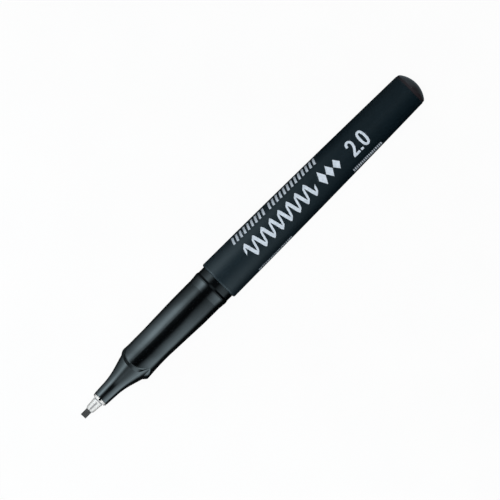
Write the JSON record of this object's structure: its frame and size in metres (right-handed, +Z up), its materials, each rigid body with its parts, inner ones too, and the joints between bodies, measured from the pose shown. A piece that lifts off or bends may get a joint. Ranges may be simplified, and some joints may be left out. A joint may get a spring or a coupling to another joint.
{
  "type": "calligraphy marker",
  "caption": "Uncapped calligraphy marker with a 2 mm fibre nib in a white holder, a three-sided glossy grip, a matt black barrel and a domed tail plug.",
  "frame": {"origin": "on the surface that the marker lies on, under the middle of its length", "axes": "+X along the marker's axis from the nib to the tail, +Z up, so the uppermost grip facet looks up and 14 degrees towards +Y"},
  "size_m": [0.1308, 0.0124, 0.0125],
  "materials": {
    "nib_fibre": "dense bonded fibre, stained dark grey with ink",
    "white_plastic": "natural white moulding, satin",
    "gloss_black": "gloss black moulding",
    "matt_black": "fine matt black",
    "ink_fibre": "bonded polyester fibre soaked in black ink",
    "clear_film": "thin clear film",
    "plug_black": "gloss brownish black moulding",
    "print_ink": "pale printed ink on the barrel"
  },
  "bodies": {
    "barrel": {"barrel": "matt_black", "nose_section": "gloss_black", "grip_sleeve": "gloss_black", "nib_holder": "white_plastic", "reservoir_core": "ink_fibre", "reservoir_film": "clear_film"},
    "nib": {"nib": "nib_fibre"},
    "tail_plug": {"tail_plug": "plug_black"}
  },
  "joints": [
    {"name": "nib_pull", "type": "slide", "parent": "barrel", "child": "nib", "axis": [-1, 0, 0], "range_m": [0, 0.032]},
    {"name": "tail_plug_pull", "type": "slide", "parent": "barrel", "child": "tail_plug", "axis": [1, 0, 0], "range_m": [0, 0.014]}
  ]
}
